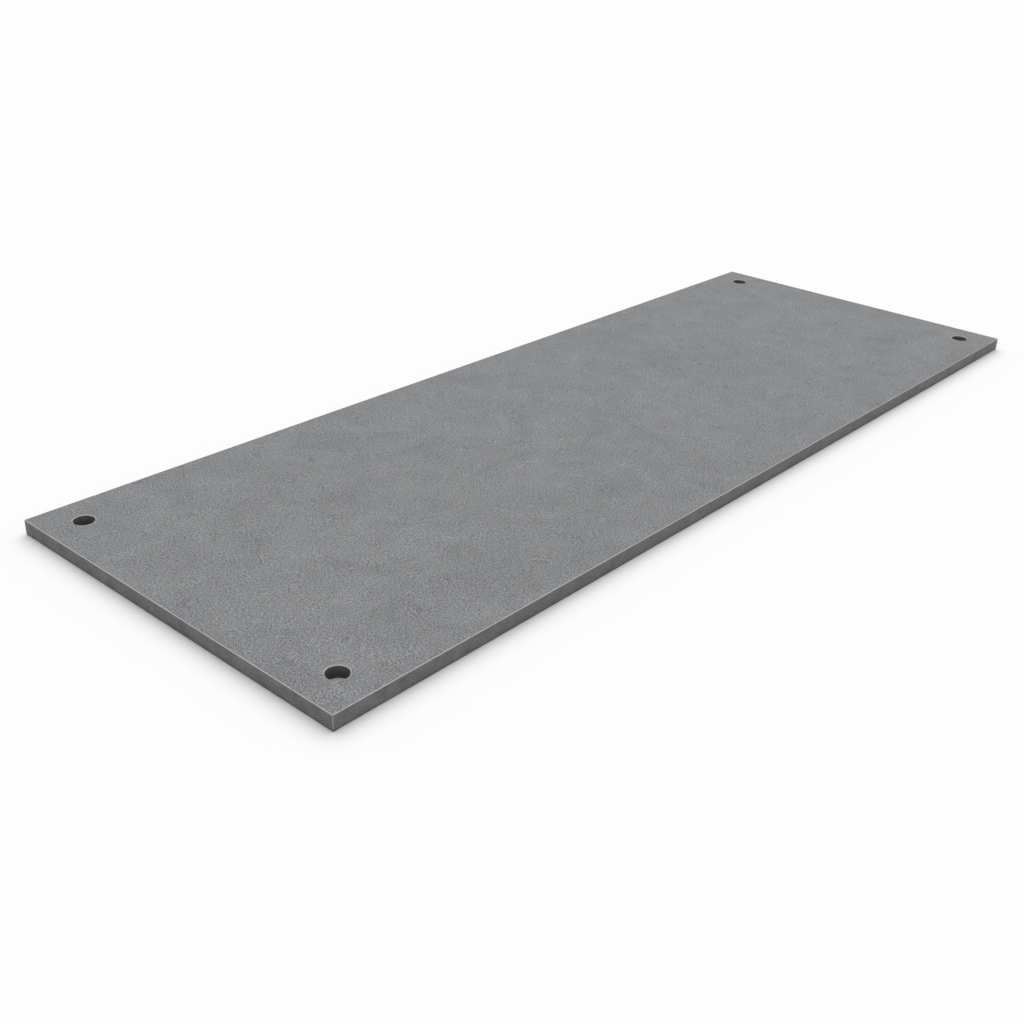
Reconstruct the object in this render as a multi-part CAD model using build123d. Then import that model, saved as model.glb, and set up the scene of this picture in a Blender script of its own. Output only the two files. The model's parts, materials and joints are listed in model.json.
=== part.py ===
from build123d import *
import os

# Flat steel plate, cut to size and drilled for a bolt near each corner.
# Millimetres. It lies on its large face: the origin is the centre of the underside,
# +X runs along the length, +Y across the width and +Z up through the thickness.

# Plate
LENGTH = 780.0
WIDTH = 280.0
THICKNESS = 10.0
EDGE_BREAK = 0.5         # bevel along every outer edge, so that none is sharp to handle

# Bolt holes
HOLE_DIAMETER = 13.0     # an M12 bolt with 1 mm of clearance
HOLE_TO_END = 25.0       # from a hole's axis to the nearest short side
HOLE_TO_SIDE = 25.0      # from a hole's axis to the nearest long side
MOUTH_BEVEL = 0.5        # bevel round a hole, on the top face and on the underside

ON_FLOOR = (Align.CENTER, Align.CENTER, Align.MIN)


def blank():
    """The plate cut to size, with all twelve outer edges broken."""
    stock = Box(LENGTH, WIDTH, THICKNESS, align=ON_FLOOR)
    return chamfer(stock.edges(), EDGE_BREAK)


def bolt_holes():
    """The straight bores, one near each corner and right through the thickness."""
    spacing_along = LENGTH - 2 * HOLE_TO_END
    spacing_across = WIDTH - 2 * HOLE_TO_SIDE
    bore = Cylinder(HOLE_DIAMETER / 2, THICKNESS, align=ON_FLOOR)
    return [place * bore for place in GridLocations(spacing_along, spacing_across, 2, 2)]


def steel_plate():
    """The finished plate: both mouths of each bore are bevelled."""
    drilled = blank() - bolt_holes()
    mouths = drilled.edges().filter_by(GeomType.CIRCLE)
    return chamfer(mouths, MOUTH_BEVEL)


os.makedirs("parts", exist_ok=True)
export_step(steel_plate(), "parts/steel_plate.step")
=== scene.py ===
import json
import math

import bmesh
import bpy
from mathutils import Matrix, Quaternion, Vector, noise


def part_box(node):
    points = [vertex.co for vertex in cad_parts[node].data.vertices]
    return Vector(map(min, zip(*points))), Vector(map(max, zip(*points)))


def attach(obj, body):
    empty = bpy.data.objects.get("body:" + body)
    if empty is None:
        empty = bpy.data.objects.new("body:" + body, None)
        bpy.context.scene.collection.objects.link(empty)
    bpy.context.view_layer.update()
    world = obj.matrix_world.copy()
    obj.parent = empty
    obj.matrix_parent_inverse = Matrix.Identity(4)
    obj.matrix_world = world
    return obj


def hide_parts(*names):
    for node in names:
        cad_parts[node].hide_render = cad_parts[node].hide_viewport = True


# A flat steel plate with a bolt hole near each corner, lying on a white studio floor.
# Metres. The plate's size and its hole pattern come from the frame.
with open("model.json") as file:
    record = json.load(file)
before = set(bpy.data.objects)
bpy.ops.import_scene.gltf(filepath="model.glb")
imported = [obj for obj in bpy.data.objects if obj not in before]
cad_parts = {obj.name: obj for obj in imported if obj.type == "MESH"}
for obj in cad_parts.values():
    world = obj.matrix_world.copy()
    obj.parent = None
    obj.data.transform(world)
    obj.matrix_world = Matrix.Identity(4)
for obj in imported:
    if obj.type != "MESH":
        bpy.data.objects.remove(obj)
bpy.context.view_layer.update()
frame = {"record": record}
MM = 0.001

plate_low, plate_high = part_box("steel_plate")
HALF_LENGTH = (plate_high.x - plate_low.x) / 2
HALF_WIDTH = (plate_high.y - plate_low.y) / 2
THICKNESS = plate_high.z - plate_low.z
bolts = next(m for m in frame["record"]["mounts"] if m["name"] == "corner_bolts")["dims"]
HOLE_X = bolts["spacing_x_mm"] * MM / 2
HOLE_Y = bolts["spacing_y_mm"] * MM / 2
BORE = bolts["hole_r_mm"] * MM

# Shape of the dressed plate
MOUTH_BEVEL = 0.5 * MM      # bevel round both mouths of a hole
MOUTH_ROUND = 0.12 * MM     # softened lines of that bevel
MOUTH_STEPS = 2             # faces across a softened line
ARRIS_ROUND = 0.5 * MM      # rounded outer edges
ARC_STEPS = 4               # faces across a rounded edge
SIDE_STEP = 2.0 * MM        # height of a side's faces
FACE_INSET = 1.1 * MM       # from the outline to the outermost line of a face's grid
GRID_STEP = 3.4 * MM        # size of a face's cells
FINE_STEP = 2.0 * MM        # and beside a hole, where they turn into rings
PATCH = 16.0 * MM           # half the side of the square patch round a hole
PATCH_RINGS = 4
RING_SPREAD = 0.8           # below 1, the rings lie closer together towards the hole
RELIEF_DEPTH = 0.05 * MM    # deepest unevenness that rolling left
RELIEF_BROAD = 40.0 * MM    # size of its broad swells
RELIEF_FINE = 11.0 * MM     # and of its small ones

# Camera
CAMERA_PLACE = (-0.7011, -0.5145, 0.3676)
CAMERA_AZIMUTH = -49.296    # degrees; 0 looks along +Y
CAMERA_ELEVATION = 27.159
CAMERA_ROLL = 2.156
CAMERA_LENS = 43.991        # millimetres, on the usual 36 mm sensor
CAMERA_REACH = 200.0        # how far it sees

# Light
SKY = 0.44                  # radiance of the even light from all round
WHITE = 0.986               # and of the background that the camera and glossy rays see
KEY_STRENGTH = 2.3
KEY_ANGLE = 80.0            # how wide the key light is, in degrees
KEY_ELEVATION = 62.0
KEY_AZIMUTH = 131.0         # where it stands, as for the camera: nearly opposite it
FLOOR_COLOUR = (0.911, 0.909, 0.905, 1)     # it comes out as white as the background
FLOOR_HALF = 60.0           # half the floor's side

# Colours of the steel, linear
CREST = (0.347, 0.352, 0.370, 1)    # tops of the grain
PIT = (0.131, 0.133, 0.140, 1)      # and its hollows
GREEN = (0.961, 1.027, 0.85, 1)     # faint tints of its finest lumps, on the tops
PURPLE = (1.039, 0.973, 1.15, 1)    # and in the hollows
WARM = (1.014, 1.0, 0.984, 1)       # faint tints of its patches
COOL = (0.986, 1.0, 1.016, 1)
SHADED_CUT = (0.175, 0.176, 0.180, 1)      # the sawn sides, darkened partly by painted shade, as the key light from behind misses them
WEAR_AND_HIGHLIGHT = (0.50, 0.505, 0.50, 1)       # bare metal along the edges, lightened as a painted highlight
BORE_LIGHT_BAND = (0.85, 0.85, 0.84, 1)      # painted light at the lower mouth of a hole, standing for the lit floor seen through it
BORE_TOP_SHADE = (0.155, 0.157, 0.16, 1)  # wall of a hole just under its upper mouth, darkened as painted shade
# painted shade, darker deep in a hole
BORE_DEEP_SHADE = (0.085, 0.086, 0.088, 1)

# Grain of the rolled faces: the size of its lumps in millimetres, and how much each size counts
# for the height and for the tint
GRAINS = ((10 / 17, 1.95, 2.4), (10 / 9, 1.3, 0.4), (10 / 6, 0.1, 0.0))
STREAK_BEND = 7.0           # size of the curves that the streaks follow
STREAK_COUNT = 39.0         # more of them lie closer together
STREAK_PATCH = 12.0         # size of the patches that have them
STREAK_FADE = 0.1           # rise of the patches' noise over which the streaks set in
STREAK_WEIGHT = 0.17        # how much they count beside the grain
SPECK_CELL = 24.0           # about one speck in a cube of this size, if it meets the surface
SPECK_RADIUS = 0.9
SPECK_CORE = 0.4            # share of that radius which has the speck's full tone
SPECK_DARK = 0.7            # a speck whose random tone, from 0 to 1, is below this is dark
CLOUD_SIZE = 26.0           # size of the soft clouds of tone
CLOUD_WEIGHT = 0.5
TINT_SIZE = 14.0            # size of the patches of tint
TINT_WEIGHT = 1.5

# Tone of the sawn sides, as weights beside an even 1; the foot's weight is painted shade
SIDE_GRAIN = 0.35
BLOTCH_SIZE = 9.0           # millimetres
BLOTCH_WEIGHT = 0.8
# painted shade at the sides' foot, next to the floor
FOOT_SHADE_WEIGHT = -0.2

# Gloss, wear with its painted highlight, and bump
METALLIC = 0.4
SPECULAR = 0.2
SPECULAR_TINT = (0.6, 0.6, 0.6, 1)
ROUGHNESS = 0.58
GRAIN_ROUGHNESS = -0.1      # the tops of the grain are a little smoother
WORN_ROUGHNESS = -0.12      # and so are the worn edges
CORNER_HIGHLIGHT = 0.8           # how worn the upright corners are, with their painted highlight, where the other edges have 1
BUMP_STRENGTH = 0.5
BUMP_DEPTH = 0.2 * MM

# Where a look sets in and where it is full, in millimetres
SIDE_FADE = (0.6, 0.2)      # sawn side with its painted shade, by the distance in from the outline
FOOT_SHADE_FADE = (1.6, 0.2)      # its foot, darkened by painted shade where it meets the floor, by the height
EDGE_FADE = (0.5, 0.3)      # worn line with a painted highlight round a large face, by the distance from that line
CORNER_FADE = (0.4, 0.2)    # worn upright corner with its painted highlight, by the distance from its line
HIGHLIGHT_HEIGHT_FADE = (0.8, 2.0)      # both of these, by the height: no wear and no painted highlight at the foot, which lies in shade
RIM_FADE = (0.25, 0.0)      # worn mouth of a hole with a painted highlight, by the distance outside its bevel
BORE_FADE = (0.15, 0.05)    # wall of a hole with its painted shade, by the distance outside the bore
DEEP_SHADE_FADE = (9.3, 4.0)      # the wall's painted shade, by the height
LIGHT_BAND_FADE = (2.5, 1.9)    # and the painted light in its lowest part


def spaced(low, high, step):
    """Evenly spaced values from low up to but not including high, about a step apart."""
    count = max(1, round((high - low) / step))
    return [low + (high - low) * k / count for k in range(count)]


def grid_lines(half, hole):
    """Places of a face's grid lines on one axis, closer together beside the holes."""
    edge = half - FACE_INSET
    lines = spaced(-edge, -hole - PATCH, GRID_STEP)
    lines += spaced(-hole - PATCH, -hole + PATCH, FINE_STEP)
    lines += spaced(-hole + PATCH, hole - PATCH, GRID_STEP)
    lines += spaced(hole - PATCH, hole + PATCH, FINE_STEP)
    lines += spaced(hole + PATCH, edge, GRID_STEP)
    return lines + [edge]


def rounded(points, radius, steps):
    """The points of a flat polyline, with an arc of that radius at each inner corner."""
    path = [Vector(points[0])]
    for before, corner, after in zip(points, points[1:], points[2:]):
        corner = Vector(corner)
        back = (Vector(before) - corner).normalized()
        on = (Vector(after) - corner).normalized()
        half = back.angle(on) / 2
        centre = corner + (back + on).normalized() * radius / math.sin(half)
        start = corner + back * radius / math.tan(half) - centre
        end = corner + on * radius / math.tan(half) - centre
        turn = start.angle_signed(end)
        for k in range(steps + 1):
            arm = start.copy()
            arm.rotate(Matrix.Rotation(-turn * k / steps, 2))
            path.append(centre + arm)
    return path + [Vector(points[-1])]


def strip(mesh, ring, next_ring):
    """Faces between two closed rings of as many vertices. A vertex that repeats gives triangles."""
    for k in range(len(ring)):
        corners = [ring[k - 1], next_ring[k - 1], next_ring[k], ring[k]]
        loop = [v for i, v in enumerate(corners) if v is not corners[i - 1]]
        if len(loop) > 2:
            mesh.faces.new(loop)


def face_sheet(mesh, z):
    """One large face: a grid of cells with a ring of vertices round each hole.
    Returns the grid's outermost vertices in order, and the innermost ring of each hole."""
    xs = grid_lines(HALF_LENGTH, HOLE_X)
    ys = grid_lines(HALF_WIDTH, HOLE_Y)

    def in_patch(x, y, reach):
        return abs(abs(x) - HOLE_X) < reach and abs(abs(y) - HOLE_Y) < reach

    inside = PATCH - FINE_STEP / 2
    at = {}
    for i, x in enumerate(xs):
        for j, y in enumerate(ys):
            if not in_patch(x, y, inside):
                at[i, j] = mesh.verts.new((x, y, z))
    for i in range(len(xs) - 1):
        for j in range(len(ys) - 1):
            middle = ((xs[i] + xs[i + 1]) / 2, (ys[j] + ys[j + 1]) / 2)
            if not in_patch(*middle, PATCH):
                mesh.faces.new((at[i, j], at[i + 1, j], at[i + 1, j + 1], at[i, j + 1]))
    last_i = len(xs) - 1
    last_j = len(ys) - 1
    rim = square_walk(at, 0, last_i, 0, last_j)
    mouths = {}
    for sx in (-1, 1):
        for sy in (-1, 1):
            centre = Vector((sx * HOLE_X, sy * HOLE_Y))
            i0, i1 = (nearest(xs, centre.x + side * PATCH) for side in (-1, 1))
            j0, j1 = (nearest(ys, centre.y + side * PATCH) for side in (-1, 1))
            mouths[sx, sy] = patch_rings(mesh, square_walk(at, i0, i1, j0, j1), centre, z)
    return rim, mouths


def nearest(values, wanted):
    """Index of the value nearest to the wanted one."""
    return min(range(len(values)), key=lambda k: abs(values[k] - wanted))


def square_walk(at, i0, i1, j0, j1):
    """The grid's vertices round a rectangle of cells, anticlockwise from its lowest corner."""
    walk = [at[i, j0] for i in range(i0, i1)]
    walk += [at[i1, j] for j in range(j0, j1)]
    walk += [at[i, j1] for i in range(i1, i0, -1)]
    walk += [at[i0, j] for j in range(j1, j0, -1)]
    return walk


def patch_rings(mesh, square, centre, z):
    """Rings that lead from a square of vertices to a circle just outside a hole's mouth."""
    circle = BORE + MOUTH_BEVEL + 2 * MOUTH_ROUND
    first = math.radians(225)   # the walk begins at the square's lowest corner
    ring = square
    for step in range(1, PATCH_RINGS + 1):
        share = (step / PATCH_RINGS) ** RING_SPREAD
        inner = []
        for k, corner in enumerate(square):
            angle = first + 2 * math.pi * k / len(square)
            round_place = centre + circle * Vector((math.cos(angle), math.sin(angle)))
            place = corner.co.xy.lerp(round_place, share)
            inner.append(mesh.verts.new((place.x, place.y, z)))
        strip(mesh, ring, inner)
        ring = inner
    return ring


def bore(mesh, top_ring, under_ring, centre):
    """The wall of one hole, with a softened bevel at both mouths."""
    reach = BORE + MOUTH_BEVEL + 2 * MOUTH_ROUND
    mouth = [(reach, THICKNESS), (BORE + MOUTH_BEVEL, THICKNESS), (BORE, THICKNESS - MOUTH_BEVEL)]
    below = [(r, THICKNESS - z) for r, z in reversed(mouth)]
    profile = rounded(mouth + below, MOUTH_ROUND, MOUTH_STEPS)
    ring = top_ring
    for radius, z in profile[1:-1]:
        inner = []
        for outer in top_ring:
            place = centre + (outer.co.xy - centre).normalized() * radius
            inner.append(mesh.verts.new((place.x, place.y, z)))
        strip(mesh, ring, inner)
        ring = inner
    strip(mesh, ring, under_ring)


def rim_lines(vertex):
    """Whether a vertex of a face's rim lies on its short lines, and whether on its long ones."""
    x, y = vertex.co.xy
    slack = FACE_INSET / 10
    on_short = abs(x) > HALF_LENGTH - FACE_INSET - slack
    on_long = abs(y) > HALF_WIDTH - FACE_INSET - slack
    return on_short, on_long


def outline_ring(mesh, rim, outset, z):
    """The rim's vertices moved out to a given distance from the plate's outline.
    The plan's corners are arcs, of no radius until the rounded edge begins."""
    out_x = HALF_LENGTH + outset
    out_y = HALF_WIDTH + outset
    turn = max(0.0, ARRIS_ROUND + outset)
    ring = []
    for vertex in rim:
        x, y = vertex.co.xy
        on_short, on_long = rim_lines(vertex)
        sign_x = math.copysign(1, x)
        sign_y = math.copysign(1, y)
        if on_short and on_long:
            pivot = Vector((sign_x * (out_x - turn), sign_y * (out_y - turn)))
            ring += corner_arc(mesh, pivot, sign_x, sign_y, turn, z)
        elif on_short:
            ring.append(mesh.verts.new((sign_x * out_x, y, z)))
        else:
            ring.append(mesh.verts.new((x, sign_y * out_y, z)))
    return ring


def corner_arc(mesh, pivot, sign_x, sign_y, radius, z):
    """Vertices round one upright corner, anticlockwise.
    Where it has no radius, it is one vertex repeated."""
    if radius == 0:
        return [mesh.verts.new((pivot.x, pivot.y, z))] * (ARC_STEPS + 1)
    middle = math.atan2(sign_y, sign_x)
    angles = [middle + math.pi / 2 * (k / ARC_STEPS - 0.5) for k in range(ARC_STEPS + 1)]
    return [mesh.verts.new((pivot.x + radius * math.cos(a), pivot.y + radius * math.sin(a), z))
            for a in angles]


def repeat_corners(rim):
    """The rim's own vertices, with each corner as often as outline_ring has it."""
    ring = []
    for vertex in rim:
        ring += [vertex] * (ARC_STEPS + 1 if all(rim_lines(vertex)) else 1)
    return ring


def sides(mesh, top_rim, under_rim):
    """The four narrow faces with the rounded edges above, below and between them."""
    outline = [(-FACE_INSET, THICKNESS), (0, THICKNESS), (0, 0), (-FACE_INSET, 0)]
    arcs = rounded(outline, ARRIS_ROUND, ARC_STEPS)
    middle = len(arcs) // 2
    wall = [Vector((0, z)) for z in spaced(arcs[middle - 1].y, arcs[middle].y, -SIDE_STEP)]
    profile = arcs[1:middle] + wall[1:] + arcs[middle:-1]
    ring = repeat_corners(top_rim)
    for outset, z in profile:
        outer = outline_ring(mesh, top_rim, outset, z)
        strip(mesh, ring, outer)
        ring = outer
    strip(mesh, ring, repeat_corners(under_rim))


def relief(place):
    """How far below its true face the rolled surface lies at a place.
    Both noises run from -1 to 1."""
    broad = noise.noise(place / RELIEF_BROAD)
    fine = noise.noise(place / RELIEF_FINE)
    return RELIEF_DEPTH * (2 + broad + fine) / 4


def plate():
    """The dressed plate as one closed mesh."""
    mesh = bmesh.new()
    top_rim, top_mouths = face_sheet(mesh, THICKNESS)
    under_rim, under_mouths = face_sheet(mesh, 0.0)
    for (sx, sy), ring in top_mouths.items():
        bore(mesh, ring, under_mouths[sx, sy], Vector((sx * HOLE_X, sy * HOLE_Y)))
    sides(mesh, top_rim, under_rim)
    bmesh.ops.recalc_face_normals(mesh, faces=mesh.faces)
    mesh.normal_update()
    moves = [(v, v.normal * relief(v.co)) for v in mesh.verts]
    for vertex, move in moves:
        vertex.co -= move
    data = bpy.data.meshes.new("plate")
    mesh.to_mesh(data)
    mesh.free()
    data.shade_smooth()
    piece = bpy.data.objects.new("plate", data)
    bpy.context.scene.collection.objects.link(piece)
    return piece


class Graph:
    """The nodes of one material. A value is a number, a colour or another node's output."""

    def __init__(self, name):
        self.material = bpy.data.materials.new(name)
        self.material.use_nodes = True
        self.tree = self.material.node_tree
        self.shader = self.tree.nodes["Principled BSDF"]

    def node(self, kind, settings=(), inputs=()):
        made = self.tree.nodes.new("ShaderNode" + kind)
        for name, value in dict(settings).items():
            setattr(made, name, value)
        for name, value in dict(inputs).items():
            self.feed(made.inputs[name], value)
        return made

    def feed(self, socket, value):
        if isinstance(value, bpy.types.NodeSocket):
            self.tree.links.new(value, socket)
        else:
            socket.default_value = value

    def math(self, operation, *values):
        return self.node("Math", {"operation": operation}, enumerate(values)).outputs[0]

    def ramp(self, value, low, high):
        """0 at low and 1 at high, smoothly; low may be the larger."""
        inputs = {"Value": value, "From Min": low, "From Max": high}
        return self.node("MapRange", {"interpolation_type": "SMOOTHSTEP"}, inputs).outputs[0]

    def mix(self, share, first, second):
        """A blend of two colours."""
        made = self.node("Mix", {"data_type": "RGBA"})
        share_socket, first_socket, second_socket = [s for s in made.inputs if s.enabled]
        self.feed(share_socket, share)
        self.feed(first_socket, first)
        self.feed(second_socket, second)
        return next(s for s in made.outputs if s.enabled)

    def scale(self, vector, factor):
        """A vector or colour times a number."""
        inputs = {0: vector, "Scale": factor}
        return self.node("VectorMath", {"operation": "SCALE"}, inputs).outputs[0]

    def tinted(self, colour, tint):
        """The product of two colours."""
        return self.node("VectorMath", {"operation": "MULTIPLY"}, {0: colour, 1: tint}).outputs[0]

    def noise(self, place, size, detail=0.0, roughness=0.5, curl=0.0):
        """Noise round nought whose lumps are about that many millimetres across."""
        inputs = {"Vector": place, "Scale": 1 / size, "Detail": detail,
                  "Roughness": roughness, "Distortion": curl}
        made = self.node("TexNoise", (), inputs)
        return self.math("SUBTRACT", made.outputs["Fac"], 0.5)

    def total(self, *terms):
        """The sum of pairs of a value and its weight. A pair that begins with 1.0 adds a number."""
        result = 0.0
        for value, weight in terms:
            result = self.math("MULTIPLY_ADD", value, weight, result)
        return result


def position(graph):
    """The place on the plate in millimetres, and its three coordinates."""
    place = graph.scale(graph.node("TexCoord").outputs["Object"], 1 / MM)
    return place, graph.node("SeparateXYZ", (), {0: place}).outputs


def edge_distance(graph, axes):
    """How far the surface is from the nearest line round a large face, from the nearest
    upright corner, and from the plate's outline."""
    in_x = graph.math("SUBTRACT", HALF_LENGTH / MM, graph.math("ABSOLUTE", axes[0]))
    in_y = graph.math("SUBTRACT", HALF_WIDTH / MM, graph.math("ABSOLUTE", axes[1]))
    in_z = graph.math("MINIMUM", axes[2], graph.math("SUBTRACT", THICKNESS / MM, axes[2]))
    in_side = graph.math("MINIMUM", in_x, in_y)
    return graph.math("MAXIMUM", in_side, in_z), graph.math("MAXIMUM", in_x, in_y), in_side


def hole_distance(graph, axes):
    """Distance from the axis of the nearest hole."""
    along = graph.math("SUBTRACT", graph.math("ABSOLUTE", axes[0]), HOLE_X / MM)
    across = graph.math("SUBTRACT", graph.math("ABSOLUTE", axes[1]), HOLE_Y / MM)
    squares = graph.math("ADD", graph.math("POWER", along, 2.0), graph.math("POWER", across, 2.0))
    return graph.math("SQRT", squares)


def grain(graph, place):
    """The height of the rolled surface's lumps, and how far its tint leans towards green."""
    lumps = [(graph.noise(place, size), weight, tinge) for size, weight, tinge in GRAINS]
    height = graph.total(*((lump, weight) for lump, weight, tinge in lumps))
    green = graph.total(*((lump, tinge) for lump, weight, tinge in lumps), (1.0, 0.5))
    return height, green


def streaks(graph, place):
    """Short curled lines, light beside dark, in scattered patches.
    They are the contours of a smooth noise."""
    bends = graph.noise(place, STREAK_BEND)
    lines = graph.math("SINE", graph.math("MULTIPLY", bends, STREAK_COUNT))
    patches = graph.ramp(graph.noise(place, STREAK_PATCH), 0.0, STREAK_FADE)
    return graph.math("MULTIPLY", lines, patches)


def specks(graph, place):
    """Small round marks here and there, mostly dark."""
    cells = graph.node("TexVoronoi", (), {"Vector": place, "Scale": 1 / SPECK_CELL})
    radius = SPECK_RADIUS / SPECK_CELL
    near = graph.ramp(cells.outputs["Distance"], radius, SPECK_CORE * radius)
    return graph.math("MULTIPLY", near, graph.math("SUBTRACT", cells.outputs["Color"], SPECK_DARK))


def rolled(graph, place, height, green):
    """Colour of the large faces: grain, streaks, specks, patches of tint and soft clouds."""
    share = graph.total((height, 1.0), (streaks(graph, place), STREAK_WEIGHT),
                        (specks(graph, place), 1.0), (1.0, 0.5))
    warm = graph.total((graph.noise(place, TINT_SIZE, detail=2.0), TINT_WEIGHT), (1.0, 0.5))
    clouds = graph.noise(place, CLOUD_SIZE, detail=5.0, roughness=0.6, curl=0.8)
    colour = graph.tinted(graph.mix(share, PIT, CREST), graph.mix(green, PURPLE, GREEN))
    colour = graph.tinted(colour, graph.mix(warm, COOL, WARM))
    return graph.scale(colour, graph.total((clouds, CLOUD_WEIGHT), (1.0, 1.0)))


def shaded_sides(graph, place, axes, height):
    """Colour of the narrow sides: blotched, darkened partly by painted shade, and darker at the
    foot with painted shade.
    """
    blotches = graph.noise(place, BLOTCH_SIZE, detail=3.0, roughness=0.6)
    # painted shade at the foot, where the floor meets the side
    foot_shade = graph.ramp(axes[2], *FOOT_SHADE_FADE)
    tone = graph.total((height, SIDE_GRAIN), (blotches, BLOTCH_WEIGHT),
                       (foot_shade, FOOT_SHADE_WEIGHT), (1.0, 1.0))
    return graph.scale(SHADED_CUT[:3], tone)


def wear_and_highlight(graph, line, corner, axes):
    """How worn the outer edges are, from 0 to 1, which also sets their painted highlight."""
    upright = graph.math("MULTIPLY", graph.ramp(corner, *CORNER_FADE), CORNER_HIGHLIGHT)
    worn_highlight = graph.math("MAXIMUM", graph.ramp(line, *EDGE_FADE), upright)
    return graph.math("MULTIPLY", worn_highlight, graph.ramp(axes[2], *HIGHLIGHT_HEIGHT_FADE))


def shaded_bore_wall(graph, axes):
    """Colour of a hole's wall: painted shade, darker with depth, and painted light in its lowest
    part.
    """
    # painted shade, darker with depth
    wall = graph.mix(graph.ramp(axes[2], *DEEP_SHADE_FADE), BORE_TOP_SHADE, BORE_DEEP_SHADE)
    # painted light low in the wall, for the lit floor seen through the hole
    return graph.mix(graph.ramp(axes[2], *LIGHT_BAND_FADE), wall, BORE_LIGHT_BAND)


def steel():
    """Dull grey steel: rolled faces, sawn sides darkened partly by painted shade, worn edges with a
    painted highlight, and bores with painted shade and painted light.
    """
    g = Graph("steel")
    place, axes = position(g)
    line, corner, in_side = edge_distance(g, axes)
    from_hole = hole_distance(g, axes)
    height, green = grain(g, place)
    worn_highlight = wear_and_highlight(g, line, corner, axes)
    past_rim = g.math("SUBTRACT", from_hole, (BORE + MOUTH_BEVEL) / MM)
    past_bore = g.math("SUBTRACT", from_hole, BORE / MM)

    shade = rolled(g, place, height, green)
    # the sawn sides, darker partly as painted shade
    shade = g.mix(g.ramp(in_side, *SIDE_FADE), shade, shaded_sides(g, place, axes, height))
    # worn edges, lightened as a painted highlight
    shade = g.mix(worn_highlight, shade, WEAR_AND_HIGHLIGHT)
    # worn mouths of the holes, lightened as a painted highlight
    shade = g.mix(g.ramp(past_rim, *RIM_FADE), shade, WEAR_AND_HIGHLIGHT)
    # the holes' walls, with painted shade and painted light
    shade = g.mix(g.ramp(past_bore, *BORE_FADE), shade, shaded_bore_wall(g, axes))

    roughness = g.total((height, GRAIN_ROUGHNESS), (worn_highlight, WORN_ROUGHNESS), (1.0, ROUGHNESS))
    bump = g.node("Bump", (), {"Strength": BUMP_STRENGTH, "Distance": BUMP_DEPTH, "Height": height})
    g.feed(g.shader.inputs["Base Color"], shade)
    g.feed(g.shader.inputs["Normal"], bump.outputs["Normal"])
    g.feed(g.shader.inputs["Roughness"], roughness)
    g.feed(g.shader.inputs["Metallic"], METALLIC)
    g.feed(g.shader.inputs["Specular IOR Level"], SPECULAR)
    g.feed(g.shader.inputs["Specular Tint"], SPECULAR_TINT)
    return g.material


def floor():
    """A plain floor that reaches past the horizon of every view."""
    data = bpy.data.meshes.new("floor")
    corners = [(-FLOOR_HALF, -FLOOR_HALF, 0), (FLOOR_HALF, -FLOOR_HALF, 0),
               (FLOOR_HALF, FLOOR_HALF, 0), (-FLOOR_HALF, FLOOR_HALF, 0)]
    data.from_pydata(corners, [], [(0, 1, 2, 3)])
    piece = bpy.data.objects.new("floor", data)
    bpy.context.scene.collection.objects.link(piece)
    g = Graph("floor")
    g.feed(g.shader.inputs["Base Color"], FLOOR_COLOUR)
    g.feed(g.shader.inputs["Roughness"], 1.0)
    g.feed(g.shader.inputs["Specular IOR Level"], 0.0)
    data.materials.append(g.material)


def sky():
    """Even light from all round, with a white background for the camera and for reflections."""
    world = bpy.data.worlds.new("studio")
    bpy.context.scene.world = world
    world.use_nodes = True
    tree = world.node_tree
    path = tree.nodes.new("ShaderNodeLightPath")
    seen = tree.nodes.new("ShaderNodeMath")
    seen.operation = "MAXIMUM"
    tree.links.new(path.outputs["Is Camera Ray"], seen.inputs[0])
    either = tree.nodes.new("ShaderNodeMath")
    either.operation = "MAXIMUM"
    tree.links.new(path.outputs["Is Glossy Ray"], either.inputs[0])
    tree.links.new(path.outputs["Is Transmission Ray"], either.inputs[1])
    tree.links.new(either.outputs[0], seen.inputs[1])
    strength = tree.nodes.new("ShaderNodeMapRange")
    strength.inputs["To Min"].default_value = SKY
    strength.inputs["To Max"].default_value = WHITE
    tree.links.new(seen.outputs[0], strength.inputs["Value"])
    background = tree.nodes["Background"]
    background.inputs["Color"].default_value = (1, 1, 1, 1)
    tree.links.new(strength.outputs[0], background.inputs["Strength"])


def towards(azimuth, elevation):
    """Unit vector from the plate to something at that azimuth and elevation, in degrees."""
    a = math.radians(azimuth)
    e = math.radians(elevation)
    return Vector((math.sin(a) * math.cos(e), -math.cos(a) * math.cos(e), math.sin(e)))


def key_light():
    """One broad soft light, high up behind the plate."""
    lamp = bpy.data.lights.new("key", "SUN")
    lamp.energy = KEY_STRENGTH
    lamp.angle = math.radians(KEY_ANGLE)
    key = bpy.data.objects.new("key", lamp)
    key.rotation_mode = "QUATERNION"
    key.rotation_quaternion = (-towards(KEY_AZIMUTH, KEY_ELEVATION)).to_track_quat("-Z", "Y")
    key.visible_glossy = False
    bpy.context.scene.collection.objects.link(key)


def camera():
    """The camera, which looks down at the plate with a slight roll."""
    data = bpy.data.cameras.new("camera")
    data.lens = CAMERA_LENS
    data.clip_end = CAMERA_REACH
    made = bpy.data.objects.new("camera", data)
    made.location = CAMERA_PLACE
    made.rotation_mode = "QUATERNION"
    level = (-towards(CAMERA_AZIMUTH, CAMERA_ELEVATION)).to_track_quat("-Z", "Y")
    made.rotation_quaternion = level @ Quaternion((0, 0, 1), math.radians(CAMERA_ROLL))
    bpy.context.scene.collection.objects.link(made)
    bpy.context.scene.camera = made


dressed = plate()
dressed.data.materials.append(steel())
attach(dressed, "root")
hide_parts("steel_plate")
floor()
sky()
key_light()
camera()
bpy.context.scene.view_settings.view_transform = "Standard"
